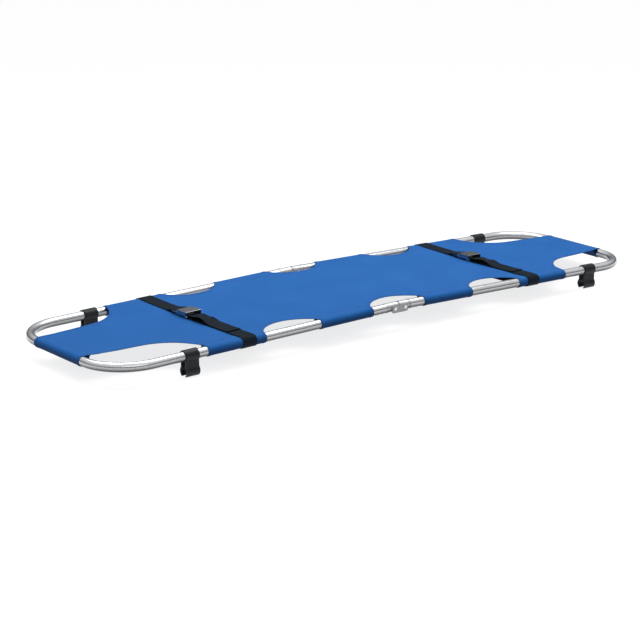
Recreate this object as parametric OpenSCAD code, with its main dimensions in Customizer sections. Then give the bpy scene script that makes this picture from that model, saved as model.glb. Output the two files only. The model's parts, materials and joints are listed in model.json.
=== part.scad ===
// Two-fold aluminium pole stretcher.
// The frame is two U-shaped tubes that meet at a pair of double-pivot hinges half way along
// the side rails.  The halves fold downwards, undersides together, and the snap feet of each
// half then grip the rails of the other.
//
// Model frame: +X runs from the foot end to the head end, +Y is the patient's right, +Z is up.
// The origin is on the floor, below the middle of the hinge line.  All sizes are millimetres.
//
// Each half is drawn in its own frame: x is the distance from the hinge line, z = 0 is the
// tube's axis.  half(side) then tilts it about its hinge pins and puts it in place.

/* [Frame] */
// Overall length of the opened stretcher
overall_length = 2050; // [1900:10:2200]
// Overall width over the canvas sleeves on the side rails
overall_width = 552; // [480:1:600]
// Outside diameter of the frame tube
tube_d = 28; // [28:1:30]
// Wall thickness of the frame tube
tube_wall = 1.5; // [1.2:0.1:2]
// Centreline radius of the corner bends
corner_r = 135; // [80:5:145]
// Slope of each half, downwards from the hinge line, in degrees
camber = 1.1; // [0:0.1:1.5]

/* [Hinge] */
// Distance of each hinge pin from the hinge line
pin_x = 19.5; // [18.5:0.5:22]
// Depth of the hinge pins below the tube's axis
pin_drop = 2.5; // [1:0.5:4]
// Diameter of the hinge pins
pin_d = 6; // [5:0.5:7]
// Length of the visible part of each knuckle
knuckle_len = 46; // [44:1:60]
// Thickness of the hinge links
link_t = 2.5; // [2:0.5:3]

/* [Feet] */
// Distance of the foot half's snap feet from the hinge line
foot_clip_x = 752; // [740:1:760]
// Distance of the head half's snap feet from the hinge line
head_clip_x = 808; // [806:1:830]
// Width of a snap foot along the rail
clip_w = 45; // [35:1:48]
// Thickness of a snap foot's wall
clip_t = 3.4; // [3:0.1:4]
// Height of the tube's axis above the lower edge of a snap foot
clip_reach = 58; // [56:1:60]

/* [Canvas] */
// Thickness of the canvas
canvas_t = 1.1; // [0.8:0.1:1.1]
// Height of the middle of the canvas above the tube's axis
canvas_z = 11; // [6:0.5:12]
// Depth of the hand-grip cut-outs, measured from the rail's axis
grip_depth = 60; // [50:1:70]

/* [Straps] */
// Distance of the straps from the hinge line
strap_x = 555; // [540:5:620]
// Width of the webbing
strap_w = 50; // [38:1:50]
// Thickness of the webbing
strap_t = 1.6; // [1.2:0.1:2]
// Distance of the buckles from the centre line, towards the patient's right
buckle_y = 30; // [-40:5:40]

/* [Hidden] */
$fn = 64;

FOOT = -1;
HEAD = 1;
LEFT = -1;
RIGHT = 1;

tube_r = tube_d / 2;
bore_r = tube_r - tube_wall;
slip = 0.3;                                  // gap between soft pieces and what they wrap
sleeve_r = tube_r + slip + canvas_t;         // outside of the canvas sleeves
rail_y = overall_width / 2 - sleeve_r;       // rail axis to centre line
end_x = overall_length / 2 - sleeve_r;       // end tube's axis to hinge line
bend_x = end_x - corner_r;
bend_y = rail_y - corner_r;
fold_pitch = 2 * (pin_x + pin_drop);         // rail to rail when folded
mean_clip_x = (foot_clip_x + head_clip_x) / 2;
pin_z = (clip_reach - pin_drop) * cos(camber) + (mean_clip_x - pin_x) * sin(camber);

// Knuckles
butt_gap = 0.1;
groove = 2.2;                                // chamfer round the butt faces
spigot_len = 42;
rivet_x = [knuckle_len + 12, knuckle_len + 30];
rivet_r = 2;
rivet_head_r = 3.8;
rivet_head_t = 1.2;
rivet_len = 6;

// Hinge links and pins
link_end = 11;                               // past the pin
link_up = 7.5;
link_down = 13.5;
link_corner_r = 6;
link_y = tube_r + 0.2;                       // inner face of a link, from the rail's axis
pin_r = pin_d / 2;
pin_head_r = 5;
pin_head_t = 1.8;

// Snap feet
clip_in_r = tube_r + 0.15;
clip_out_r = clip_in_r + clip_t;
waist_half = 12.5;
waist_slot_half = 8;
mouth_half = 8.5;

// Canvas: where its edge leaves and meets the rails, from the hinge line
sleeve_spans = [[100, 296], [495, 696]];
corner_cut_r = 146;
corner_depth = 127;
end_sleeve_half = rail_y - 143;
canvas_start = 4;

// Webbing
strap_in_r = sleeve_r + slip;
strap_out_r = strap_in_r + strap_t;
strap_mid = (strap_in_r + strap_out_r) / 2;

// Buckle: y along the strap towards the tongue, z from the middle of the webbing
base_t = 1.6;
base_z = 1.2;
base_y = [-28, 22];
base_half = 28;
wall_top = 11.5;
bar_y = -30.5;
bar_r = 2.4;
lever_pin_y = 16;
lever_pin_z = 8.6;
lever_pin_r = 1.8;
hub_r = 3;
lever_z = 12;
lever_t = 1.6;
lever_neck_half = 25.5;
tongue_z = 3.2;
tongue_t = 2;
tongue_head_y = [24, 44];
near_strap_end = -33.3;
far_strap_end = 50;

// ---------------------------------------------------------------- placing

// Puts a half, drawn in its own frame, into the model
module half(side)
    mirror([side < 0 ? 1 : 0, 0, 0])
        translate([pin_x, 0, pin_z])
            rotate([0, camber, 0])
                translate([-pin_x, 0, pin_drop])
                    children();

// A pair of pieces or a piece at one rail of a half
module at_rail(side, hand)
    half(side)
        translate([0, hand * rail_y, 0])
            children();

// Extrudes a profile drawn in y and z along x, centred on x = 0
module along_x(width)
    rotate([90, 0, 90])
        linear_extrude(width, center = true)
            children();

// A rod across the stretcher
module rod_y(r, len)
    rotate([90, 0, 0])
        cylinder(r = r, h = len, center = true);

// A rod along the rail, from x = a to x = b
module rod_x(r, a, b)
    translate([a, 0, 0])
        rotate([0, 90, 0])
            cylinder(r = r, h = b - a);

// The buckle's own frame
module at_buckle(side)
    half(side)
        translate([strap_x, buckle_y, strap_mid])
            children();

// ---------------------------------------------------------------- frame

// Solid bar along the U's centreline; extra lengthens its open ends
module u_bar(r, extra = 0) {
    for (hand = [LEFT, RIGHT]) {
        translate([0, hand * rail_y, 0])
            rod_x(r, knuckle_len - extra, bend_x);
        translate([bend_x, hand * bend_y, 0])
            rotate([0, 0, hand > 0 ? 0 : -90])
                rotate_extrude(angle = 90)
                    translate([corner_r, 0])
                        circle(r = r);
    }
    translate([end_x, 0, 0])
        rod_y(r, 2 * bend_y);
}

// Holes for the rivets, drilled upwards into the rail
module rivet_holes(r)
    for (x = rivet_x)
        translate([x, 0, -tube_r - 1])
            cylinder(r = r, h = rivet_len + 1);

module frame_tube(side)
    color("gainsboro")
        half(side)
            difference() {
                u_bar(tube_r);
                u_bar(bore_r, 1);
                for (hand = [LEFT, RIGHT])
                    translate([0, hand * rail_y, 0])
                        rivet_holes(rivet_r);
            }

// Space that a knuckle may fill: square above the pin, round below it, so that it can turn
module knuckle_envelope()
    translate([pin_x, 0, -pin_drop])
        rotate([0, -camber, 0]) {
            translate([butt_gap / 2 - pin_x, -30, 0])
                cube([60, 60, 60]);
            translate([0, -30, -60])
                cube([120, 60, 120]);
            rod_y(pin_x - 0.3, 60);
        }

module knuckle(side, hand)
    color("silver")
        at_rail(side, hand)
            difference() {
                intersection() {
                    union() {
                        rod_x(tube_r, groove, knuckle_len);
                        rod_x(tube_r - groove, -2, groove + 1);
                        rod_x(tube_r + 0.8, knuckle_len - 4, knuckle_len - 0.1);
                        rod_x(bore_r - 0.05, knuckle_len - 1, knuckle_len + spigot_len);
                    }
                    knuckle_envelope();
                }
                translate([pin_x, 0, -pin_drop])
                    rod_y(pin_r + 0.05, 2 * tube_r + 4);
                rivet_holes(rivet_r);
            }

module knuckle_rivets(side)
    color("gray")
        for (hand = [LEFT, RIGHT])
            at_rail(side, hand)
                for (x = rivet_x)
                    translate([x, 0, -tube_r]) {
                        cylinder(r = rivet_r - 0.02, h = rivet_len - 0.2);
                        translate([0, 0, -rivet_head_t])
                            cylinder(r = rivet_head_r, h = rivet_head_t);
                    }

// ---------------------------------------------------------------- hinge

// Plate with round corners, drawn from its lower left corner
module round_plate(size, r) {
    translate([r, 0])
        square([size[0] - 2 * r, size[1]]);
    translate([0, r])
        square([size[0], size[1] - 2 * r]);
    for (x = [r, size[0] - r], y = [r, size[1] - r])
        translate([x, y])
            circle(r = r);
}

// One link plate; out is +1 for the plate on the outer side of the rail and -1 for the inner
module hinge_link(hand, out)
    color("darkgray")
        translate([0, hand * (rail_y + out * (link_y + link_t / 2)), pin_z])
            rotate([90, 0, 0])
                linear_extrude(link_t, center = true)
                    difference() {
                        translate([-pin_x - link_end, -link_down])
                            round_plate([2 * (pin_x + link_end), link_up + link_down], link_corner_r);
                        for (s = [-1, 1])
                            translate([s * pin_x, 0])
                                circle(r = pin_r + 0.02);
                    }

module hinge_pin(side, hand)
    color("dimgray")
        translate([side * pin_x, hand * rail_y, pin_z]) {
            rod_y(pin_r, 2 * (link_y + link_t) + 0.2);
            for (s = [-1, 1])
                translate([0, s * (link_y + link_t + 0.05 + pin_head_t / 2), 0])
                    rod_y(pin_head_r, pin_head_t);
        }

// ---------------------------------------------------------------- feet

// Hairpin that holds its own rail at the top and snaps over the other half's rail below
module clip_profile()
    difference() {
        union() {
            circle(r = clip_out_r);
            translate([0, -fold_pitch])
                circle(r = clip_out_r);
            translate([-waist_half, -fold_pitch])
                square([2 * waist_half, fold_pitch]);
        }
        circle(r = clip_in_r);
        translate([0, -fold_pitch])
            circle(r = clip_in_r);
        translate([-waist_slot_half, -fold_pitch])
            square([2 * waist_slot_half, fold_pitch]);
        translate([-mouth_half, -fold_pitch - 30])
            square([2 * mouth_half, 30]);
    }

module clip(side, hand)
    color("#202224")
        intersection() {
            at_rail(side, hand)
                translate([side < 0 ? foot_clip_x : head_clip_x, 0, 0])
                    along_x(clip_w)
                        clip_profile();
            translate([side * mean_clip_x - 100, -overall_width, 0])
                cube([200, 2 * overall_width, 200]);
        }

// ---------------------------------------------------------------- canvas

// Hand-grip cut-out between two sleeves: a segment of a circle on the rail's axis
module grip_cut(from, to) {
    half_len = (to - from) / 2;
    grip_r = (pow(half_len, 2) + pow(grip_depth, 2)) / (2 * grip_depth);
    translate([from + half_len, grip_r - grip_depth])
        circle(r = grip_r, $fn = 128);
}

// Large cut-out at a corner, in x and in depth below the rail's axis
module corner_cut() {
    start = sleeve_spans[1][1];
    translate([start + corner_cut_r, -corner_depth + corner_cut_r])
        circle(r = corner_cut_r);
    translate([start, -corner_depth + corner_cut_r])
        square([2 * corner_cut_r, corner_depth]);
    polygon([
        [start + corner_cut_r, 30],
        [start + corner_cut_r, -corner_depth],
        [end_x + 30, end_sleeve_half - rail_y],
        [end_x + 30, 30]
    ]);
}

module canvas_outline()
    difference() {
        translate([canvas_start, -rail_y])
            square([end_x - canvas_start, 2 * rail_y]);
        for (hand = [LEFT, RIGHT])
            mirror([0, hand < 0 ? 1 : 0])
                translate([0, rail_y]) {
                    grip_cut(-sleeve_spans[0][0], sleeve_spans[0][0]);
                    grip_cut(sleeve_spans[0][1], sleeve_spans[1][0]);
                    corner_cut();
                }
    }

module canvas(side)
    color("#2f6db5")
        half(side)
            difference() {
                union() {
                    translate([0, 0, canvas_z - canvas_t / 2])
                        linear_extrude(canvas_t)
                            canvas_outline();
                    for (hand = [LEFT, RIGHT], span = sleeve_spans)
                        translate([0, hand * rail_y, 0])
                            rod_x(sleeve_r, span[0], span[1]);
                    translate([end_x, 0, 0])
                        rod_y(sleeve_r, 2 * end_sleeve_half);
                }
                for (hand = [LEFT, RIGHT])
                    translate([0, hand * rail_y, 0])
                        rod_x(tube_r + slip, 50, 750);
                translate([end_x, 0, 0])
                    rod_y(tube_r + slip, 2 * rail_y);
            }

// ---------------------------------------------------------------- straps

// One length of webbing: round both rails, under the canvas, with its two ends on top
module strap_profile() {
    for (hand = [LEFT, RIGHT])
        translate([hand * rail_y, 0])
            difference() {
                circle(r = strap_out_r);
                circle(r = strap_in_r);
                translate([hand < 0 ? 0 : -2 * strap_out_r, -strap_out_r])
                    square(2 * strap_out_r);
            }
    translate([-rail_y, -strap_out_r])
        square([2 * rail_y, strap_t]);
    translate([-rail_y, strap_in_r])
        square([rail_y + buckle_y + near_strap_end, strap_t]);
    translate([buckle_y + far_strap_end, strap_in_r])
        square([rail_y - buckle_y - far_strap_end, strap_t]);
}

module strap(side)
    color("#15171b")
        half(side)
            translate([strap_x, 0, 0])
                along_x(strap_w)
                    strap_profile();

// The end of the webbing, sewn round the tongue's bar
module tongue_webbing(side) {
    bar_hole = [tongue_head_y[0] + 9.5, tongue_head_y[1] + 1.5];
    color("#15171b")
        at_buckle(side)
            along_x(strap_w - 0.4)
                difference() {
                    polygon([
                        [32, 1.2], [46, 1.2], [50, 2.6], [95, 2.6],
                        [95, 5.8], [50, 5.8], [46, 7.2], [32, 7.2]
                    ]);
                    translate([bar_hole[0], tongue_z - 0.3])
                        square([bar_hole[1] - bar_hole[0], tongue_t + 0.6]);
                }
}

// ---------------------------------------------------------------- buckle

// Pressed channel with a bar for the webbing at its closed end
module buckle_base(side)
    color("silver")
        at_buckle(side)
            difference() {
                union() {
                    translate([-base_half, base_y[0], base_z])
                        cube([2 * base_half, base_y[1] - base_y[0], base_t]);
                    for (s = [-1, 1])
                        translate([s * (base_half - base_t / 2), 0, 0])
                            along_x(base_t)
                                union() {
                                    translate([base_y[0], base_z])
                                        square([base_y[1] - base_y[0], wall_top - base_z]);
                                    translate([bar_y, 0])
                                        circle(r = bar_r + 1);
                                    translate([bar_y, -bar_r - 1])
                                        square([-bar_y + base_y[0] + 8, 2 * bar_r + 2]);
                                }
                    translate([0, bar_y, 0])
                        rotate([0, 90, 0])
                            cylinder(r = bar_r, h = 2 * base_half, center = true);
                }
                translate([0, lever_pin_y, lever_pin_z])
                    rotate([0, 90, 0])
                        cylinder(r = lever_pin_r + 0.02, h = 3 * base_half, center = true);
            }

module buckle_pin(side)
    color("gray")
        at_buckle(side)
            translate([0, lever_pin_y, lever_pin_z])
                rotate([0, 90, 0])
                    cylinder(r = lever_pin_r, h = 2 * base_half + 0.6, center = true);

// Lift lever: a plate with two hubs on the pin, a latch tooth, and a rolled lip at its free end
module buckle_lever(side)
    color("gainsboro")
        at_buckle(side)
            difference() {
                union() {
                    translate([-base_half, base_y[0], lever_z])
                        cube([2 * base_half, lever_pin_y - 8 - base_y[0], lever_t]);
                    translate([-lever_neck_half, 0, lever_z])
                        cube([2 * lever_neck_half, lever_pin_y + 2, lever_t]);
                    translate([-5.5, -1.7, tongue_z + tongue_t + 0.3])
                        cube([11, 4.7, lever_z - tongue_z - tongue_t]);
                    translate([0, base_y[0], lever_z + 1.4])
                        rotate([0, 90, 0])
                            cylinder(r = 1.4, h = 2 * base_half, center = true);
                    for (s = [-1, 1])
                        translate([s * 18, 0, 0])
                            along_x(14)
                                union() {
                                    translate([lever_pin_y, lever_pin_z])
                                        circle(r = hub_r);
                                    translate([lever_pin_y - hub_r, lever_pin_z])
                                        square([hub_r + 2, lever_z + 0.5 - lever_pin_z]);
                                }
                }
                translate([0, lever_pin_y, lever_pin_z])
                    rotate([0, 90, 0])
                        cylinder(r = lever_pin_r + 0.05, h = 3 * base_half, center = true);
            }

// Torsion spring round the lever's pin
spring_turns = 4;
spring_r = 2.5;
wire_r = 0.45;
wire_sides = 6;
turn_steps = 12;
spring_len = 14;

function spring_point(i, j) =
    let (
        turn = 360 * i / turn_steps,
        around = 360 * j / wire_sides,
        r = spring_r + wire_r * cos(around)
    )
    [
        spring_len * (i / (spring_turns * turn_steps) - 0.5) + wire_r * sin(around),
        r * cos(turn),
        r * sin(turn)
    ];

module buckle_spring(side) {
    rings = spring_turns * turn_steps;
    points = [for (i = [0 : rings], j = [0 : wire_sides - 1]) spring_point(i, j)];
    walls = [
        for (i = [0 : rings - 1], j = [0 : wire_sides - 1])
            let (k = (j + 1) % wire_sides)
            [i * wire_sides + j, (i + 1) * wire_sides + j, (i + 1) * wire_sides + k, i * wire_sides + k]
    ];
    first = [for (j = [0 : wire_sides - 1]) j];
    last = [for (j = [wire_sides - 1 : -1 : 0]) rings * wire_sides + j];
    color("dimgray")
        at_buckle(side)
            translate([0, lever_pin_y, lever_pin_z])
                mirror([side < 0 ? 1 : 0, 0, 0])
                    polyhedron(points = points, faces = concat(walls, [first, last]));
}

// Latch tongue: a windowed blade and a head with a slot for the webbing
module buckle_tongue(side)
    color("gainsboro")
        at_buckle(side)
            translate([0, 0, tongue_z])
                linear_extrude(tongue_t)
                    difference() {
                        union() {
                            translate([-12, -8])
                                square([24, 34]);
                            translate([-base_half, tongue_head_y[0]])
                                square([2 * base_half, tongue_head_y[1] - tongue_head_y[0]]);
                        }
                        translate([-6, -3])
                            square([12, 9]);
                        translate([-strap_w / 2 - 0.5, 31])
                            square([strap_w + 1, 4]);
                    }

frame_tube(FOOT);  // foot_frame_tube
frame_tube(HEAD);  // head_frame_tube
knuckle(FOOT, LEFT);  // left_foot_knuckle
knuckle(FOOT, RIGHT);  // right_foot_knuckle
knuckle(HEAD, LEFT);  // left_head_knuckle
knuckle(HEAD, RIGHT);  // right_head_knuckle
knuckle_rivets(FOOT);  // foot_knuckle_rivets
knuckle_rivets(HEAD);  // head_knuckle_rivets
hinge_link(LEFT, -1);  // left_hinge_outer_link
hinge_link(LEFT, 1);  // left_hinge_inner_link
hinge_link(RIGHT, 1);  // right_hinge_outer_link
hinge_link(RIGHT, -1);  // right_hinge_inner_link
hinge_pin(FOOT, LEFT);  // left_foot_hinge_pin
hinge_pin(HEAD, LEFT);  // left_head_hinge_pin
hinge_pin(FOOT, RIGHT);  // right_foot_hinge_pin
hinge_pin(HEAD, RIGHT);  // right_head_hinge_pin
clip(FOOT, LEFT);  // left_foot_clip
clip(FOOT, RIGHT);  // right_foot_clip
clip(HEAD, LEFT);  // left_head_clip
clip(HEAD, RIGHT);  // right_head_clip
canvas(FOOT);  // foot_canvas
canvas(HEAD);  // head_canvas
strap(FOOT);  // foot_strap
strap(HEAD);  // head_strap
tongue_webbing(FOOT);  // foot_tongue_webbing
tongue_webbing(HEAD);  // head_tongue_webbing
buckle_base(FOOT);  // foot_buckle_base
buckle_base(HEAD);  // head_buckle_base
buckle_lever(FOOT);  // foot_buckle_lever
buckle_lever(HEAD);  // head_buckle_lever
buckle_pin(FOOT);  // foot_buckle_pin
buckle_pin(HEAD);  // head_buckle_pin
buckle_spring(FOOT);  // foot_buckle_spring
buckle_spring(HEAD);  // head_buckle_spring
buckle_tongue(FOOT);  // foot_buckle_tongue
buckle_tongue(HEAD);  // head_buckle_tongue
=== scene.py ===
"""Looks of the folding stretcher: cloth, webbing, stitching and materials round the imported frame.

Most pieces are made in the frame of one half: x is the distance from the hinge line along the
rails, y is across, and z is the height above the rails' axes. to_model() tilts them to the rails'
slope and puts them on the head side, or mirrors them to the foot side. All lengths are in metres.
"""

import json
import math

import bmesh
import bpy
import numpy as np
from mathutils import Matrix, Vector, noise
from mathutils.geometry import delaunay_2d_cdt


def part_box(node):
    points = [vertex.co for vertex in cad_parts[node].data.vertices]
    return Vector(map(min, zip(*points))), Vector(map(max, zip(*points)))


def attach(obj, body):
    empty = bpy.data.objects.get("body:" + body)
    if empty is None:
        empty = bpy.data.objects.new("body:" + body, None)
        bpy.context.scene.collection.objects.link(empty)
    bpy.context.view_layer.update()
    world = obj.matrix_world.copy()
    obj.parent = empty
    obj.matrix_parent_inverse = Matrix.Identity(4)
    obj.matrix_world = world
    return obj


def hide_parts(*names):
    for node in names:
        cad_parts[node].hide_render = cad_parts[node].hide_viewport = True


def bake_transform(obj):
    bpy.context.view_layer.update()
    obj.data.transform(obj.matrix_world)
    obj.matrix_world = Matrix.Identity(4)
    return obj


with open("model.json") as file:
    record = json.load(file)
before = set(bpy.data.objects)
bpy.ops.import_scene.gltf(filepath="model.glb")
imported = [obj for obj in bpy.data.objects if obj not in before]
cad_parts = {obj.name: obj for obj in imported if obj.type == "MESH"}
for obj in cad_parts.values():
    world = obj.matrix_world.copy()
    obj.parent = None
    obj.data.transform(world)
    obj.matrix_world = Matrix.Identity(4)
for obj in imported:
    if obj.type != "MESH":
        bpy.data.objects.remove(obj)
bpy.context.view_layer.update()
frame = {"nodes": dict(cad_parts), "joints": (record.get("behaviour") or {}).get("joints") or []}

MM = 0.001
FOOT = -1
HEAD = 1
SIDES = {"foot": FOOT, "head": HEAD}
joints = {j["name"]: j for j in frame["joints"]}

# ---------------------------------------------------------------- dimensions read off the frame

CAMBER = math.radians(90 - joints["head_fold"]["range_deg"][1])
PIN_X, _, PIN_Z = joints["head_fold"]["pos_m"]
PIN_DROP = 2.5 * MM
knuckle_low, knuckle_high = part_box("right_head_knuckle")
RAIL_Y = (knuckle_low.y + knuckle_high.y) / 2
tube_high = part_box("head_frame_tube")[1]
TUBE_R = tube_high.y - RAIL_Y
END_X = PIN_X + (tube_high.x - TUBE_R - PIN_X - PIN_DROP * math.sin(CAMBER)) / math.cos(CAMBER)
HINGE_Z = PIN_Z + PIN_X * math.sin(CAMBER) + PIN_DROP * math.cos(CAMBER)

strap_low, strap_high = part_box("head_strap")
STRAP_X = PIN_X + ((strap_low.x + strap_high.x) / 2 - PIN_X) / math.cos(CAMBER)
STRAP_W = 49 * MM
STRAP_T = 1.5 * MM
STRAP_R = strap_high.y - RAIL_Y - 0.8 * MM
BAR_R = 2.4 * MM
BAR_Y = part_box("head_buckle_base")[0].y + BAR_R
BAR_TURN = 3.6 * MM
SLOT_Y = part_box("head_buckle_tongue")[1].y - 11 * MM
TONGUE_Z = STRAP_R + 4.2 * MM
TONGUE_TURN = 2.4 * MM
FAR_JOIN = RAIL_Y - 34 * MM
FAR_Z = 15.6 * MM

# Canvas: its height between the rails, the sleeves' spans along them and the cut-outs between those
CLOTH_T = 0.9 * MM
SLEEVE_R = TUBE_R + 0.75 * MM
SHEET_Z = 13 * MM
RISE = 55 * MM
SEAM_IN = 24 * MM
GRIP = 60 * MM
SLEEVES = [(100 * MM, 296 * MM), (495 * MM, 697 * MM)]
CORNER_R = 146 * MM
CORNER_DEPTH = 127 * MM
END_DEPTH = 143 * MM


# ---------------------------------------------------------------- helpers

def half_matrix(side):
    """From a half's own frame to the model's; the foot side is mirrored."""
    tilt = (
        Matrix.Translation((PIN_X, 0, PIN_Z))
        @ Matrix.Rotation(CAMBER, 4, "Y")
        @ Matrix.Translation((-PIN_X, 0, PIN_DROP))
    )
    return Matrix.Diagonal((side, 1, 1, 1)) @ tilt


def to_model(points, side):
    """Points of a half's own frame, as an array, in the model's."""
    m = np.array(half_matrix(side))
    return np.asarray(points, float) @ m[:3, :3].T + m[:3, 3]


def new_mesh(name, points, faces, side=HEAD, uvs=None, smooth=True):
    """Mesh object in the model's frame from points of a half's frame. uvs has one pair a point."""
    if side < 0:
        faces = [tuple(reversed(f)) for f in faces]
    mesh = bpy.data.meshes.new(name)
    mesh.from_pydata([tuple(p) for p in to_model(points, side)], [], [tuple(f) for f in faces])
    if uvs is not None:
        layer = mesh.uv_layers.new(name="flat")
        pairs = np.asarray(uvs, float)
        loops = np.zeros(len(mesh.loops), int)
        mesh.loops.foreach_get("vertex_index", loops)
        layer.data.foreach_set("uv", pairs[loops].ravel())
    mesh.shade_smooth() if smooth else mesh.shade_flat()
    obj = bpy.data.objects.new(name, mesh)
    bpy.context.scene.collection.objects.link(obj)
    return obj


def apply_modifiers(obj):
    """Replaces the object's mesh with what its modifiers make of it."""
    depsgraph = bpy.context.evaluated_depsgraph_get()
    mesh = bpy.data.meshes.new_from_object(obj.evaluated_get(depsgraph))
    obj.modifiers.clear()
    obj.data = mesh


def smoothstep(t):
    t = np.clip(t, 0.0, 1.0)
    return t * t * (3 - 2 * t)


def arc(centre, radius, start, end, steps):
    """Points of a circular arc, angles in degrees."""
    return [
        (centre[0] + radius * math.cos(math.radians(a)), centre[1] + radius * math.sin(math.radians(a)))
        for a in np.linspace(start, end, steps)
    ]


def resample(line, step):
    """The same open polyline with evenly spaced points about step apart."""
    line = np.asarray(line, float)
    along = np.concatenate([[0], np.cumsum(np.linalg.norm(np.diff(line, axis=0), axis=1))])
    stations = np.linspace(0, along[-1], max(2, int(round(along[-1] / step)) + 1))
    return np.stack([np.interp(stations, along, line[:, k]) for k in range(line.shape[1])], 1)


# ---------------------------------------------------------------- materials

class Shader:
    """A Principled material and short ways to add nodes to it."""

    def __init__(self, name, color, roughness, metallic=0.0, **sockets):
        self.material = bpy.data.materials.new(name)
        self.material.use_nodes = True
        self.tree = self.material.node_tree
        self.bsdf = self.tree.nodes["Principled BSDF"]
        self.bsdf.inputs["Base Color"].default_value = (*color, 1)
        self.bsdf.inputs["Roughness"].default_value = roughness
        self.bsdf.inputs["Metallic"].default_value = metallic
        for socket, value in sockets.items():
            self.bsdf.inputs[socket.replace("_", " ")].default_value = value

    def node(self, kind, **inputs):
        made = self.tree.nodes.new(kind)
        for key, value in inputs.items():
            socket = made.inputs[key.replace("_", " ")]
            if isinstance(value, bpy.types.NodeSocket):
                self.tree.links.new(value, socket)
            else:
                socket.default_value = value
        return made

    def coords(self, kind="Object", scale=(1, 1, 1)):
        source = self.tree.nodes.new("ShaderNodeTexCoord")
        mapping = self.node("ShaderNodeMapping", Vector=source.outputs[kind], Scale=scale)
        return mapping.outputs["Vector"]

    def noise(self, vector, scale, detail=3.0, roughness=0.5):
        made = self.node("ShaderNodeTexNoise", Vector=vector, Scale=scale, Detail=detail)
        made.inputs["Roughness"].default_value = roughness
        return made.outputs["Fac"]

    def ramp(self, value, low, high, color_low, color_high):
        """Colour or number that runs from color_low at value low to color_high at value high."""
        made = self.node("ShaderNodeValToRGB", Fac=value)
        made.color_ramp.elements[0].position = low
        made.color_ramp.elements[0].color = (*color_low, 1)
        made.color_ramp.elements[1].position = high
        made.color_ramp.elements[1].color = (*color_high, 1)
        return made.outputs["Color"]

    def span(self, value, low, high):
        """Maps 0 to 1 onto low to high."""
        made = self.node("ShaderNodeMapRange", Value=value)
        made.inputs["To Min"].default_value = low
        made.inputs["To Max"].default_value = high
        return made.outputs["Result"]

    def math(self, operation, a, b=0.0):
        made = self.tree.nodes.new("ShaderNodeMath")
        made.operation = operation
        for socket, value in zip(made.inputs, (a, b)):
            if isinstance(value, bpy.types.NodeSocket):
                self.tree.links.new(value, socket)
            else:
                socket.default_value = value
        return made.outputs[0]

    def wave(self, vector, scale, axis="X", distortion=0.0):
        made = self.node("ShaderNodeTexWave", Vector=vector, Scale=scale, Distortion=distortion)
        made.bands_direction = axis
        return made.outputs["Fac"]

    def painted_underside_shade(self, color, low, high, least):
        """Painted shade: the colour itself where the surface faces up, darkened to least times it where
        it faces down.

        low and high are the upward parts of the object's own normal between which it changes.
        """
        source = self.tree.nodes.new("ShaderNodeTexCoord")
        parts = self.node("ShaderNodeSeparateXYZ", Vector=source.outputs["Normal"])
        made = self.node("ShaderNodeMapRange", Value=parts.outputs["Z"])
        made.inputs["From Min"].default_value = low
        made.inputs["From Max"].default_value = high
        made.inputs["To Min"].default_value = least
        scaled = self.tree.nodes.new("ShaderNodeVectorMath")
        scaled.operation = "SCALE"
        self.tree.links.new(color, scaled.inputs[0])
        self.tree.links.new(made.outputs["Result"], scaled.inputs["Scale"])
        return scaled.outputs["Vector"]

    def drive(self, socket, output):
        self.tree.links.new(output, self.bsdf.inputs[socket])

    def bump(self, *heights):
        """Each height is (output, strength, distance in metres); they stack."""
        normal = None
        for height, strength, distance in heights:
            made = self.node("ShaderNodeBump", Height=height, Strength=strength, Distance=distance)
            if normal is not None:
                self.tree.links.new(normal, made.inputs["Normal"])
            normal = made.outputs["Normal"]
        self.drive("Normal", normal)


def tube_metal():
    s = Shader("drawn_aluminium", (0.62, 0.63, 0.65), 0.24, 1.0)
    rails = s.coords(scale=(3, 260, 260))
    draw_lines = s.noise(rails, 1.0, 4)
    smudge = s.noise(s.coords(), 9.0, 3)
    bright = s.ramp(smudge, 0.3, 0.75, (0.62, 0.63, 0.65), (0.74, 0.75, 0.77))
    # Painted shade: the tube's colour darkens to 0.16 of itself where its surface faces down.
    s.drive("Base Color", s.painted_underside_shade(bright, -0.45, 0.35, 0.16))
    mixed = s.math("ADD", s.math("MULTIPLY", draw_lines, 0.5), s.math("MULTIPLY", smudge, 0.5))
    s.drive("Roughness", s.span(mixed, 0.14, 0.34))
    s.bump((draw_lines, 0.10, 0.0002))
    return s.material


def cast_metal():
    s = Shader("cast_aluminium", (0.70, 0.71, 0.73), 0.4, 1.0)
    grain = s.noise(s.coords(), 900.0, 4)
    stain = s.noise(s.coords(), 60.0, 3)
    bright = s.ramp(stain, 0.3, 0.7, (0.50, 0.51, 0.53), (0.62, 0.63, 0.65))
    # Painted shade: the cast metal's colour darkens to 0.16 of itself where its surface faces down.
    s.drive("Base Color", s.painted_underside_shade(bright, -0.45, 0.35, 0.16))
    s.drive("Roughness", s.span(grain, 0.28, 0.46))
    s.bump((grain, 0.25, 0.0003))
    return s.material


def hinge_metal():
    s = Shader("zinc_plate", (0.55, 0.56, 0.58), 0.34, 1.0)
    brushed = s.noise(s.coords(scale=(60, 60, 1400)), 1.0, 3)
    spangle = s.noise(s.coords(), 140.0, 2)
    s.drive("Base Color", s.ramp(spangle, 0.35, 0.7, (0.23, 0.24, 0.25), (0.29, 0.30, 0.32)))
    s.drive("Roughness", s.span(brushed, 0.26, 0.46))
    s.bump((brushed, 0.15, 0.0002))
    return s.material


def pin_metal():
    s = Shader("turned_steel", (0.66, 0.66, 0.67), 0.24, 1.0)
    turned = s.noise(s.coords(scale=(1, 1, 1)), 420.0, 3)
    s.drive("Roughness", s.span(turned, 0.18, 0.36))
    s.bump((turned, 0.12, 0.0002))
    return s.material


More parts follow.
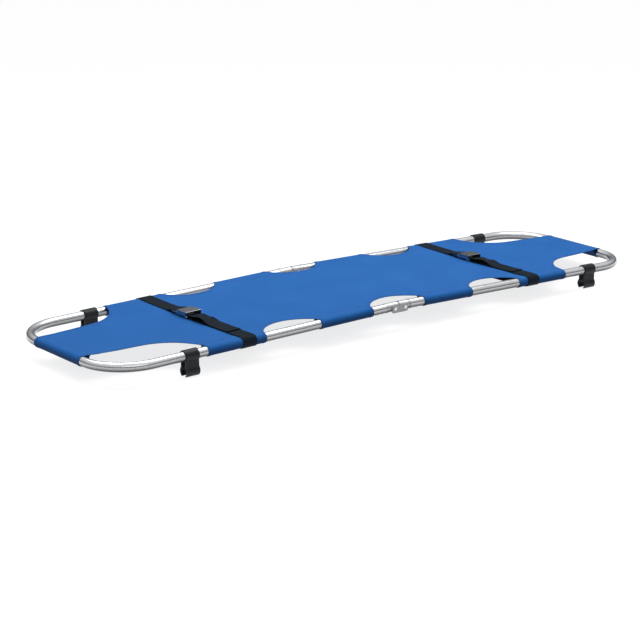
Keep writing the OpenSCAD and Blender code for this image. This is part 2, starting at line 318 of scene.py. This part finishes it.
def buckle_metal():
    s = Shader("plated_buckle", (0.72, 0.73, 0.75), 0.16, 1.0)
    scratch = s.noise(s.coords(scale=(900, 30, 200)), 1.0, 4)
    haze = s.noise(s.coords(), 70.0, 3)
    s.drive("Base Color", s.ramp(haze, 0.35, 0.75, (0.28, 0.29, 0.31), (0.38, 0.39, 0.41)))
    mixed = s.math("MULTIPLY", s.math("ADD", scratch, haze), 0.5)
    s.drive("Roughness", s.span(mixed, 0.08, 0.26))
    s.bump((scratch, 0.06, 0.0001))
    return s.material


def clip_plastic():
    s = Shader("black_nylon", (0.008, 0.012, 0.015), 0.36, IOR=1.3)
    pebble = s.noise(s.coords(), 1500.0, 3)
    scuff = s.noise(s.coords(scale=(1, 1, 3)), 110.0, 5)
    s.drive("Base Color", s.ramp(scuff, 0.5, 0.85, (0.007, 0.011, 0.013), (0.020, 0.027, 0.031)))
    s.drive("Roughness", s.span(scuff, 0.28, 0.52))
    s.bump((pebble, 0.2, 0.0002))
    return s.material


def canvas_cloth(name, dark, light, rough=0.62):
    """Coated plain weave, drawn in the cloth's own flat coordinates."""
    s = Shader(name, light, rough, Sheen_Weight=0.02, Sheen_Roughness=0.5, IOR=1.12)
    flat = s.coords("UV")
    across = s.wave(flat, 260.0, "X", 1.2)
    along = s.wave(flat, 260.0, "Y", 1.2)
    weave = s.math("MULTIPLY", across, along)
    slub = s.noise(s.coords("UV", (900, 60, 1)), 1.0, 2)
    cloud = s.noise(flat, 7.0, 3)
    wear = s.noise(flat, 45.0, 4)
    tone = s.math("ADD", s.math("MULTIPLY", cloud, 0.6), s.math("MULTIPLY", wear, 0.25))
    tone = s.math("ADD", tone, s.math("MULTIPLY", weave, 0.22))
    # Painted shade: the cloth's colour darkens to 0.28 of itself where its surface turns down, as on the
    # sleeves' sides and undersides.
    s.drive("Base Color", s.painted_underside_shade(s.ramp(tone, 0.25, 0.75, dark, light), -0.2, 0.8, 0.28))
    s.drive("Roughness", s.span(wear, rough - 0.08, rough + 0.1))
    s.bump((weave, 0.35, 0.00025), (slub, 0.15, 0.0002))
    return s.material


def webbing_cloth():
    """Ribbed webbing: a chevron weave along the length."""
    s = Shader("black_webbing", (0.006, 0.012, 0.024), 0.55, Sheen_Weight=0.01, IOR=1.12)
    flat = s.coords("UV")
    parts = s.node("ShaderNodeSeparateXYZ", Vector=flat)
    ribs = s.wave(flat, 130.0, "Y")
    folded = s.math("PINGPONG", parts.outputs["Y"], 4 * MM)
    slanted = s.math("ADD", parts.outputs["X"], folded)
    picks = s.math("SINE", s.math("MULTIPLY", slanted, 2 * math.pi / (2.2 * MM)))
    height = s.math("ADD", s.math("MULTIPLY", picks, 0.35), ribs)
    fuzz = s.noise(flat, 700.0, 3)
    tone = s.math("ADD", s.math("MULTIPLY", height, 0.3), s.math("MULTIPLY", fuzz, 0.6))
    s.drive("Base Color", s.ramp(tone, 0.2, 0.9, (0.003, 0.007, 0.013), (0.010, 0.018, 0.028)))
    s.drive("Roughness", s.span(fuzz, 0.42, 0.66))
    s.bump((height, 0.5, 0.00045), (fuzz, 0.2, 0.0002))
    return s.material


def thread(name, color):
    s = Shader(name, color, 0.5, Sheen_Weight=0.2)
    twist = s.wave(s.coords(), 1400.0, "DIAGONAL")
    s.drive("Roughness", s.span(twist, 0.4, 0.6))
    s.bump((twist, 0.4, 0.0002))
    return s.material


BLUE_DARK = (0.0125, 0.097, 0.325)
BLUE_LIGHT = (0.019, 0.121, 0.385)
TUBE = tube_metal()
CAST = cast_metal()
ZINC = hinge_metal()
STEEL = pin_metal()
PLATED = buckle_metal()
NYLON = clip_plastic()
CANVAS = canvas_cloth("blue_canvas", BLUE_DARK, BLUE_LIGHT)
HEM = canvas_cloth("blue_canvas_hem", (0.011, 0.085, 0.30), (0.018, 0.12, 0.38))
WEBBING = webbing_cloth()
BLUE_THREAD = thread("blue_thread", (0.02, 0.10, 0.34))


def paint(obj, material):
    obj.data.materials.clear()
    obj.data.materials.append(material)
    return obj


# ---------------------------------------------------------------- the frame's own pieces

def finish_node(name, material, bevel):
    """Gives a node its material, and breaks its edges where bevel isn't 0."""
    node = frame["nodes"][name]
    node.data.materials.clear()
    node.data.materials.append(material)
    if bevel:
        soften = node.modifiers.new("broken_edges", "BEVEL")
        soften.width = bevel
        soften.segments = 2
        soften.limit_method = "ANGLE"
        soften.angle_limit = math.radians(40)


def finish_nodes():
    for half in SIDES:
        finish_node(f"{half}_frame_tube", TUBE, 0)
        finish_node(f"{half}_knuckle_rivets", STEEL, 0.25 * MM)
        for hand in ("left", "right"):
            finish_node(f"{hand}_{half}_knuckle", CAST, 0)
            finish_node(f"{hand}_{half}_hinge_pin", STEEL, 0.35 * MM)
            finish_node(f"{hand}_{half}_clip", NYLON, 0.5 * MM)
        finish_node(f"{half}_buckle_base", PLATED, 0.25 * MM)
        finish_node(f"{half}_buckle_lever", PLATED, 0.25 * MM)
        finish_node(f"{half}_buckle_tongue", PLATED, 0.25 * MM)
        finish_node(f"{half}_buckle_pin", STEEL, 0)
        finish_node(f"{half}_buckle_spring", STEEL, 0)
    for hand in ("left", "right"):
        for place in ("inner", "outer"):
            finish_node(f"{hand}_hinge_{place}_link", ZINC, 0.3 * MM)


# ---------------------------------------------------------------- canvas

def edge_profile():
    """Cloth from the flat up onto a tube, round it and back to the seam under the sheet.

    Points of (out, up), with the tube's axis at (RISE, 0), and the cloth's length at each point.
    """
    t = np.linspace(0, 1, 60)
    rise = [(RISE * k, SHEET_Z + (SLEEVE_R - SHEET_Z) * float(smoothstep(k))) for k in t]
    seam_z = SHEET_Z + (SLEEVE_R - SHEET_Z) * float(smoothstep(1 - SEAM_IN / RISE)) - 1.5 * MM
    reach = math.hypot(SEAM_IN, seam_z)
    under = math.degrees(math.atan2(seam_z, -SEAM_IN) + math.acos(SLEEVE_R / reach)) - 360
    turn = arc((RISE, 0), SLEEVE_R, 90, under, 90)
    line = np.array([*rise, *turn[1:], (RISE - SEAM_IN, seam_z)])
    along = np.concatenate([[0], np.cumsum(np.linalg.norm(np.diff(line, axis=0), axis=1))])
    return line, along


PROFILE, PROFILE_S = edge_profile()
FLAP = float(PROFILE_S[-1])
side_v = RAIL_Y - RISE
end_u = END_X - RISE
seam_y = RAIL_Y - SEAM_IN
seam_x = END_X - SEAM_IN


def on_profile(s):
    """Out and up of the cloth's point at the distance s past the flat's edge."""
    return np.interp(s, PROFILE_S, PROFILE[:, 0]), np.interp(s, PROFILE_S, PROFILE[:, 1])


def ripple(u, v):
    """Waviness of the stretched cloth, in metres."""
    heights = np.empty(len(u))
    for i, (a, b) in enumerate(zip(u, v)):
        broad = noise.noise(Vector((a * 4.5, b * 6.0, 3.1)))
        pulls = noise.noise(Vector((a * 16.0, b * 3.0, 8.7)))
        crease = noise.noise(Vector((a * 34.0 + b * 12.0, b * 16.0, 1.9)))
        heights[i] = 0.9 * broad + 0.6 * pulls + 0.2 * crease
    return heights * MM


def cloth_point(u, v):
    """Place of the flat cloth's point (u, v) in a half's frame; u is from the hinge line."""
    u = np.asarray(u, float)
    v = np.asarray(v, float)
    hand = np.sign(v)
    over_side = np.abs(v) - side_v
    over_end = u - end_u
    side_out, side_up = on_profile(over_side)
    end_out, end_up = on_profile(over_end)
    y = np.where(over_side > 0, hand * (side_v + side_out), v)
    x = np.where(over_end > 0, end_u + end_out, u)
    z = np.where(over_side > 0, side_up, np.where(over_end > 0, end_up, SHEET_Z))
    inside = smoothstep(-over_side / (60 * MM)) * smoothstep(-over_end / (60 * MM))
    sag = 2.5 * MM * smoothstep(-over_side / (200 * MM))
    near_hinge = np.clip(1 - u / (60 * MM), 0, 1)
    ridge = math.tan(CAMBER) * 30 * MM * near_hinge**2
    calm = smoothstep(u / (40 * MM))
    z = z - sag * inside - ridge + ripple(u, v) * inside * calm
    meet = PIN_X / math.cos(CAMBER) - PIN_X + (z + PIN_DROP) * math.tan(CAMBER)
    x = x - meet * np.clip(1 - u / (30 * MM), 0, 1)
    return np.stack([x, y, z], 1)


def cloth_normal(u, v):
    """Upper normal of the cloth at (u, v)."""
    step = 0.4 * MM
    du = cloth_point(u + step, v) - cloth_point(u - step, v)
    dv = cloth_point(u, v + step) - cloth_point(u, v - step)
    n = np.cross(du, dv)
    return n / np.linalg.norm(n, axis=1)[:, None]


def grip_arc(low, high, start=None):
    """Cut edge of a hand grip that spans low to high along the rail."""
    half = (high - low) / 2
    radius = (half**2 + GRIP**2) / (2 * GRIP)
    lift = math.degrees(math.asin((radius - GRIP) / radius))
    start = -180 + lift if start is None else start
    return arc(((low + high) / 2, RAIL_Y - GRIP + radius), radius, start, -lift, 40)


def cut_edges():
    """The cloth's cut edges at v > 0 of a half, in flat coordinates: hinge, middle and corner."""
    flap_v = side_v + FLAP
    (a, b), (c, d) = SLEEVES
    hinge = [*grip_arc(-a, a, -90), (a, flap_v)]
    middle = [(b, flap_v), *grip_arc(b, c), (c, flap_v)]
    centre = (d + CORNER_R - 1 * MM, RAIL_Y - CORNER_DEPTH + CORNER_R)
    start = 180 + math.degrees(math.asin((CORNER_R - CORNER_DEPTH) / CORNER_R))
    corner = [(d, flap_v), *arc(centre, CORNER_R, start, 268, 40)]
    corner += [(end_u + RISE, RAIL_Y - END_DEPTH), (end_u + FLAP, RAIL_Y - END_DEPTH)]
    return [hinge, middle, corner]


def inside_outline(points, outline):
    """Which points lie inside the closed outline."""
    x, y = points[:, 0], points[:, 1]
    inside = np.zeros(len(points), bool)
    for (x0, y0), (x1, y1) in zip(outline, np.roll(outline, -1, axis=0)):
        if y0 == y1:
            continue
        crosses = (y0 > y) != (y1 > y)
        at = x0 + (y - y0) * (x1 - x0) / (y1 - y0)
        inside ^= crosses & (x < at)
    return inside


def far_from_outline(points, outline, gap):
    """Which points are at least gap from every corner of a finely sampled outline."""
    keep = np.ones(len(points), bool)
    for start in range(0, len(points), 2000):
        block = points[start:start + 2000]
        d = np.linalg.norm(block[:, None, :] - outline[None, :, :], axis=2).min(1)
        keep[start:start + 2000] = d > gap
    return keep


def cloth_sheet(name, side):
    """One half's cloth, cut flat and then wrapped; returns the piece and its flat area."""
    edges = cut_edges()
    upper = np.concatenate([resample(e, 6 * MM) for e in edges])
    lower = upper[::-1] * np.array([1, -1])
    across = np.linspace(-upper[0, 1], upper[0, 1], 60)[1:-1]
    closing = np.stack([np.zeros(len(across)), across], 1)
    outline = np.concatenate([upper, resample_end(upper[-1]), lower, closing])
    us = np.concatenate([np.arange(8 * MM, end_u, 9 * MM), np.arange(end_u, end_u + FLAP, 3.2 * MM)])
    inner = np.arange(0, side_v, 9 * MM)
    flap = np.arange(side_v, side_v + FLAP, 3.2 * MM)
    vs = np.concatenate([-flap[::-1], -inner[:0:-1], inner, flap])
    grid = np.stack(np.meshgrid(us, vs), -1).reshape(-1, 2)
    grid = grid[inside_outline(grid, outline)]
    grid = grid[far_from_outline(grid, outline, 2.2 * MM)]
    points = [Vector(p) for p in np.concatenate([outline, grid])]
    count = len(outline)
    ring = [(i, (i + 1) % count) for i in range(count)]
    flat, _, faces, *_ = delaunay_2d_cdt(points, ring, [list(range(count))], 1, 1e-6)
    flat = np.array([tuple(p) for p in flat])
    area = sum(
        abs(np.cross(flat[f[1]] - flat[f[0]], flat[f[2]] - flat[f[0]])) / 2 for f in faces if len(f) == 3
    )
    obj = new_mesh(name, cloth_point(flat[:, 0], flat[:, 1]), faces, side, flat)
    thick = obj.modifiers.new("thickness", "SOLIDIFY")
    thick.thickness = CLOTH_T
    thick.offset = 0
    apply_modifiers(obj)
    cleaner = bmesh.new()
    cleaner.from_mesh(obj.data)
    rim = [f for f in cleaner.faces if all(abs(v.co.x) < 0.15 * MM for v in f.verts)]
    bmesh.ops.delete(cleaner, geom=rim, context="FACES_ONLY")
    cleaner.to_mesh(obj.data)
    cleaner.free()
    return obj, area


def resample_end(corner):
    """Points along the end flap's edge, from the corner at v > 0 to the one at v < 0."""
    across = np.linspace(corner[1], -corner[1], 40)[1:-1]
    return np.stack([np.full(len(across), corner[0]), across], 1)


def strip_along(line, profile):
    """Points and faces of a strip that follows a flat line; profile has (inset, height) pairs.

    The inset is towards the cloth, which lies to the right of the line's direction.
    """
    along = np.gradient(line, axis=0)
    along /= np.linalg.norm(along, axis=1)[:, None]
    inward = np.stack([along[:, 1], -along[:, 0]], 1)
    rows = []
    flats = []
    for inset, height in profile:
        flat = line + inward * inset
        place = cloth_point(flat[:, 0], flat[:, 1])
        rows.append(place + cloth_normal(flat[:, 0], flat[:, 1]) * height)
        flats.append(flat)
    n = len(line)
    faces = []
    for k in range(len(profile) - 1):
        for i in range(n - 1):
            faces.append((k * n + i, k * n + i + 1, (k + 1) * n + i + 1, (k + 1) * n + i))
    return np.concatenate(rows), faces, np.concatenate(flats)


HEM_W = 11 * MM
HEM_PROFILE = [
    (HEM_W, 0.4 * MM), (HEM_W - 0.4 * MM, 0.85 * MM), (HEM_W - 1.4 * MM, 1.0 * MM), (1.2 * MM, 1.1 * MM),
    (0, 0.9 * MM), (-0.5 * MM, 0), (0, -0.48 * MM), (1.2 * MM, -0.52 * MM),
    (HEM_W - 1.4 * MM, -0.52 * MM), (HEM_W - 0.4 * MM, -0.48 * MM), (HEM_W, -0.35 * MM)
]


def both_hands(edge):
    """The same flat edge at v > 0 and at v < 0, each with the cloth to its right."""
    line = np.asarray(edge)
    return [line, line[::-1] * np.array([1, -1])]


def join_parts(parts):
    """One list of points, faces and flat coordinates from several."""
    points, faces, flats, offset = [], [], [], 0
    for p, f, uv in parts:
        points.append(p)
        faces += [tuple(i + offset for i in face) for face in f]
        flats.append(uv)
        offset += len(p)
    return np.concatenate(points), faces, np.concatenate(flats)


def hems(name, side):
    parts = []
    for edge in cut_edges():
        for line in both_hands(edge):
            parts.append(strip_along(resample(line, 4 * MM), HEM_PROFILE))
    points, faces, flats = join_parts(parts)
    return new_mesh(name, points, faces, side, flats)


STITCH = 3.0 * MM
STITCH_GAP = 1.3 * MM
STITCH_R = 0.28 * MM


def stitch_row(line, height, inset=0.0):
    """Stitches as short humped threads along a flat line, height above the cloth."""
    line = resample(line, (STITCH + STITCH_GAP) / 4)
    along = np.gradient(line, axis=0)
    along /= np.linalg.norm(along, axis=1)[:, None]
    flat = line + np.stack([along[:, 1], -along[:, 0]], 1) * inset
    places = cloth_point(flat[:, 0], flat[:, 1])
    normals = cloth_normal(flat[:, 0], flat[:, 1])
    return threads(places + normals * height, normals)


def threads(places, normals):
    """A thread over each run of four places, sunk at its ends."""
    points, faces = [], []
    sides = 6
    humps = (-0.7, 0.8, 0.8, -0.7)
    for start in range(0, len(places) - 4, 4):
        run = places[start:start + 4]
        up = normals[start:start + 4]
        forward = run[-1] - run[0]
        forward /= np.linalg.norm(forward)
        base = len(points)
        for k in range(4):
            out = np.cross(forward, up[k])
            centre = run[k] + up[k] * humps[k] * STITCH_R
            width = STITCH_R * (0.6 if k in (0, 3) else 1.0)
            for j in range(sides):
                a = 2 * math.pi * j / sides
                points.append(centre + width * (out * math.cos(a) + up[k] * math.sin(a)))
        for k in range(3):
            for j in range(sides):
                n = (j + 1) % sides
                faces.append((base + k * sides + j, base + (k + 1) * sides + j,
                              base + (k + 1) * sides + n, base + k * sides + n))
        faces.append(tuple(base + j for j in range(sides)))
        faces.append(tuple(base + 3 * sides + j for j in reversed(range(sides))))
    return np.array(points), faces, np.zeros((len(points), 2))


def canvas_stitching(name, side):
    parts = []
    for edge in cut_edges():
        for line in both_hands(edge):
            parts.append(stitch_row(line, 1.1 * MM, HEM_W - 3 * MM))
    for low, high in SLEEVES:
        for hand in (-1, 1):
            for row in (0, 5 * MM):
                level = hand * (seam_y - row)
                parts.append(stitch_row([(low + 12 * MM, level), (high - 12 * MM, level)], 0.5 * MM))
    half = RAIL_Y - END_DEPTH - 12 * MM
    for row in (0, 5 * MM):
        parts.append(stitch_row([(seam_x - row, -half), (seam_x - row, half)], 0.5 * MM))
    points, faces, _ = join_parts(parts)
    return new_mesh(name, points, faces, side)


def canvas(half, side):
    cloth, area = cloth_sheet(f"canvas_{half}", side)
    hem = hems(f"canvas_hem_{half}", side)
    stitches = canvas_stitching(f"canvas_stitching_{half}", side)
    paint(cloth, CANVAS)
    paint(hem, HEM)
    paint(stitches, BLUE_THREAD)
    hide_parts(f"{half}_canvas")
    for piece in (cloth, hem, stitches):
        if side < 0:
            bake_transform(piece)
        else:
            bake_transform(piece)


# ---------------------------------------------------------------- webbing

EDGE_CLEARANCE = 0.85
TWIST = math.radians(12)
TWIST_AT = BAR_Y - 62 * MM
TWIST_REACH = 30 * MM


def ribbon(name, side, path, tilt=None, width=STRAP_W):
    """Webbing along a path of (y, z) points at the strap's station.

    tilt, in radians a point, turns it about its path, and it rises so that the lower edge stays clear.
    """
    path = np.asarray(path, float)
    n = len(path)
    tilt = np.zeros(n) if tilt is None else np.asarray(tilt)
    along = np.gradient(path, axis=0)
    along /= np.linalg.norm(along, axis=1)[:, None]
    up = np.stack([np.zeros(n), -along[:, 1], along[:, 0]], 1)
    s = np.concatenate([[0], np.cumsum(np.linalg.norm(np.diff(path, axis=0), axis=1))])
    edge = width / 2
    t = STRAP_T / 2
    section = [(-edge, 0), (-edge + 0.4 * MM, t * 0.85), (-edge + 1.5 * MM, t)]
    section += [(x, t) for x in np.linspace(-edge + 6 * MM, edge - 6 * MM, 9)]
    section += [(edge - 1.5 * MM, t), (edge - 0.4 * MM, t * 0.85), (edge, 0)]
    section += [(x, -z) for x, z in reversed(section[1:-1])]
    m = len(section)
    points, uvs = [], []
    for i in range(n):
        turn = tilt[i]
        lift = EDGE_CLEARANCE * edge * abs(math.sin(turn))
        for x, z in section:
            place = np.array([STRAP_X + x * math.cos(turn), path[i, 0], path[i, 1] + lift])
            place = place + up[i] * (z + x * math.sin(turn))
            points.append(place)
            uvs.append((s[i], x))
    faces = []
    for i in range(n - 1):
        for j in range(m):
            k = (j + 1) % m
            faces.append((i * m + j, i * m + k, (i + 1) * m + k, (i + 1) * m + j))
    faces.append(tuple(reversed(range(m))))
    faces.append(tuple((n - 1) * m + j for j in range(m)))
    obj = new_mesh(name, np.array(points), faces, side, uvs)
    return paint(obj, WEBBING), float(s[-1])


def rounded_path(corners, step=2.5 * MM, passes=3):
    """A smooth path through a few points: corner cutting, then even spacing."""
    line = np.asarray(corners, float)
    for _ in range(passes):
        quarter = line[:-1] * 0.75 + line[1:] * 0.25
        three = line[:-1] * 0.25 + line[1:] * 0.75
        mixed = np.stack([quarter, three], 1).reshape(-1, line.shape[1])
        line = np.concatenate([line[:1], mixed, line[-1:]])
    return resample(line, step)


def ring_arc(hand, start, end, steps=22):
    """Part of the webbing's turn round a rail; 0 degrees is outwards and 90 is up."""
    return [(hand * (RAIL_Y + y), z) for y, z in arc((0, 0), STRAP_R, start, end, steps)]


def strap_path():
    """Tail, round the buckle's bar, near rail, under the bed and up to the far rail's inner side."""
    near = -RAIL_Y
    tail = rounded_path([
        (near + 62 * MM, 19.2 * MM), (near + 80 * MM, 17.4 * MM), (near + 130 * MM, 16.6 * MM),
        (near + 175 * MM, 17.4 * MM), (near + 212 * MM, 20.4 * MM), (BAR_Y - 16 * MM, 22.6 * MM),
        (BAR_Y - 4 * MM, STRAP_R + BAR_TURN), (BAR_Y, STRAP_R + BAR_TURN)
    ])
    bar = arc((BAR_Y, STRAP_R), BAR_TURN, 90, -90, 12)
    lower = rounded_path([
        (BAR_Y, STRAP_R - BAR_TURN), (BAR_Y - 4 * MM, STRAP_R - BAR_TURN), (BAR_Y - 60 * MM, 13.6 * MM),
        (near + 130 * MM, 14.6 * MM), (near + 60 * MM, 16.0 * MM), (near + 20 * MM, STRAP_R + 0.5 * MM),
        (near, STRAP_R)
    ])
    near_turn = ring_arc(-1, 90, -90)
    below = rounded_path([
        (near, -STRAP_R), (near + 60 * MM, -STRAP_R - 2.5 * MM), (0, -STRAP_R - 5 * MM),
        (RAIL_Y - 60 * MM, -STRAP_R - 2.5 * MM), (RAIL_Y, -STRAP_R)
    ])
    far_turn = ring_arc(1, -90, 90)
    far = rounded_path([(RAIL_Y, STRAP_R), (RAIL_Y - 12 * MM, STRAP_R - 0.2 * MM), (FAR_JOIN, FAR_Z)])
    line = [*tail, *bar[1:], *lower[1:], *near_turn[1:], *below[1:], *far_turn[1:], *far[1:]]
    return resample(line, 2.5 * MM)


def tongue_path():
    """From the far rail to the tongue's slot, up through it and back over itself."""
    return resample([
        *rounded_path([
            (FAR_JOIN, FAR_Z), (FAR_JOIN - 14 * MM, 15.1 * MM), (FAR_JOIN - 60 * MM, 14.6 * MM),
            (SLOT_Y + 58 * MM, 14.6 * MM), (SLOT_Y + 30 * MM, 16.6 * MM),
            (SLOT_Y + 10 * MM, TONGUE_Z - TONGUE_TURN), (SLOT_Y + 2 * MM, TONGUE_Z - TONGUE_TURN)
        ]),
        *arc((SLOT_Y + 2 * MM, TONGUE_Z), TONGUE_TURN, 270, 90, 12)[1:],
        *rounded_path([
            (SLOT_Y + 2 * MM, TONGUE_Z + TONGUE_TURN), (SLOT_Y + 12 * MM, TONGUE_Z + 2.0 * MM),
            (SLOT_Y + 30 * MM, 18.9 * MM), (SLOT_Y + 40 * MM, 17.4 * MM)
        ])[1:]
    ], 2.0 * MM)


def straps(half, side):
    path = strap_path()
    on_top = smoothstep((path[:, 1] - 8 * MM) / (4 * MM))
    twist = -side * TWIST * on_top * np.exp(-((path[:, 0] - TWIST_AT) / TWIST_REACH) ** 2)
    strap, length = ribbon(f"strap_{half}", side, path, twist)
    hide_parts(f"{half}_strap")
    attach(strap, f"{half}_half")
    path = tongue_path()
    short, length = ribbon(f"strap_tongue_end_{half}", side, path)
    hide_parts(f"{half}_tongue_webbing")
    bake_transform(short)


# ---------------------------------------------------------------- camera, floor and light

def camera():
    """A long lens from beyond the foot end, looking slightly down along the stretcher."""
    yaw = math.radians(38.48)
    pitch = math.radians(15.98)
    roll = math.radians(0.28)
    distance = 6.209
    pan = (67.2 * MM, 99.8 * MM)
    forward = Vector((math.sin(yaw) * math.cos(pitch), math.cos(yaw) * math.cos(pitch), -math.sin(pitch)))
    level = Vector((math.cos(yaw), -math.sin(yaw), 0))
    upright = level.cross(forward)
    right = level * math.cos(roll) + upright * math.sin(roll)
    up = upright * math.cos(roll) - level * math.sin(roll)
    place = Vector((0, 0, HINGE_Z)) - forward * distance - right * pan[0] - up * pan[1]
    data = bpy.data.cameras.new("camera")
    data.lens = 113.2
    data.sensor_width = 36
    data.clip_end = 100
    obj = bpy.data.objects.new("camera", data)
    obj.matrix_world = Matrix((
        (right.x, up.x, -forward.x, place.x),
        (right.y, up.y, -forward.y, place.y),
        (right.z, up.z, -forward.z, place.z),
        (0, 0, 0, 1),
    ))
    bpy.context.scene.collection.objects.link(obj)
    bpy.context.scene.camera = obj


def floor():
    size = 30
    mesh = bpy.data.meshes.new("floor")
    corners = [(-size, -size, 0), (size, -size, 0), (size, size, 0), (-size, size, 0)]
    mesh.from_pydata(corners, [], [(0, 1, 2, 3)])
    obj = bpy.data.objects.new("floor", mesh)
    bpy.context.scene.collection.objects.link(obj)
    s = Shader("pale_floor", (0.26, 0.26, 0.26), 0.7, IOR=1.1)
    s.bsdf.inputs["Emission Color"].default_value = (1, 1, 1, 1)
    s.bsdf.inputs["Emission Strength"].default_value = 0.80
    paint(obj, s.material)


def area_light(name, place, target, size, power, color=(1, 1, 1)):
    data = bpy.data.lights.new(name, "AREA")
    data.shape = "RECTANGLE"
    data.size, data.size_y = size
    data.energy = power
    data.color = color
    obj = bpy.data.objects.new(name, data)
    obj.location = place
    obj.rotation_euler = (Vector(target) - Vector(place)).to_track_quat("-Z", "Y").to_euler()
    bpy.context.scene.collection.objects.link(obj)


def lighting():
    world = bpy.data.worlds.new("studio")
    world.use_nodes = True
    background = world.node_tree.nodes["Background"]
    nodes, links = world.node_tree.nodes, world.node_tree.links
    direction = nodes.new("ShaderNodeTexCoord")
    parts = nodes.new("ShaderNodeSeparateXYZ")
    links.new(direction.outputs["Generated"], parts.inputs["Vector"])
    sky = nodes.new("ShaderNodeValToRGB")
    links.new(parts.outputs["Z"], sky.inputs["Fac"])
    sky.color_ramp.elements[0].position = 0.12
    sky.color_ramp.elements[0].color = (0.09, 0.10, 0.11, 1)
    sky.color_ramp.elements[1].position = 0.6
    sky.color_ramp.elements[1].color = (1, 1, 1, 1)
    links.new(sky.outputs["Color"], background.inputs["Color"])
    background.inputs["Strength"].default_value = 0.8
    bpy.context.scene.world = world
    area_light("overhead", (0.3, 0.5, 2.6), (0, 0, 0), (4.0, 1.6), 70)
    area_light("front", (-1.5, -3.2, 2.2), (0, 0, 0.1), (3.0, 1.0), 8)
    bpy.context.scene.view_settings.view_transform = "Standard"


camera()
floor()
lighting()
finish_nodes()
for half_name, half_side in SIDES.items():
    canvas(half_name, half_side)
    straps(half_name, half_side)
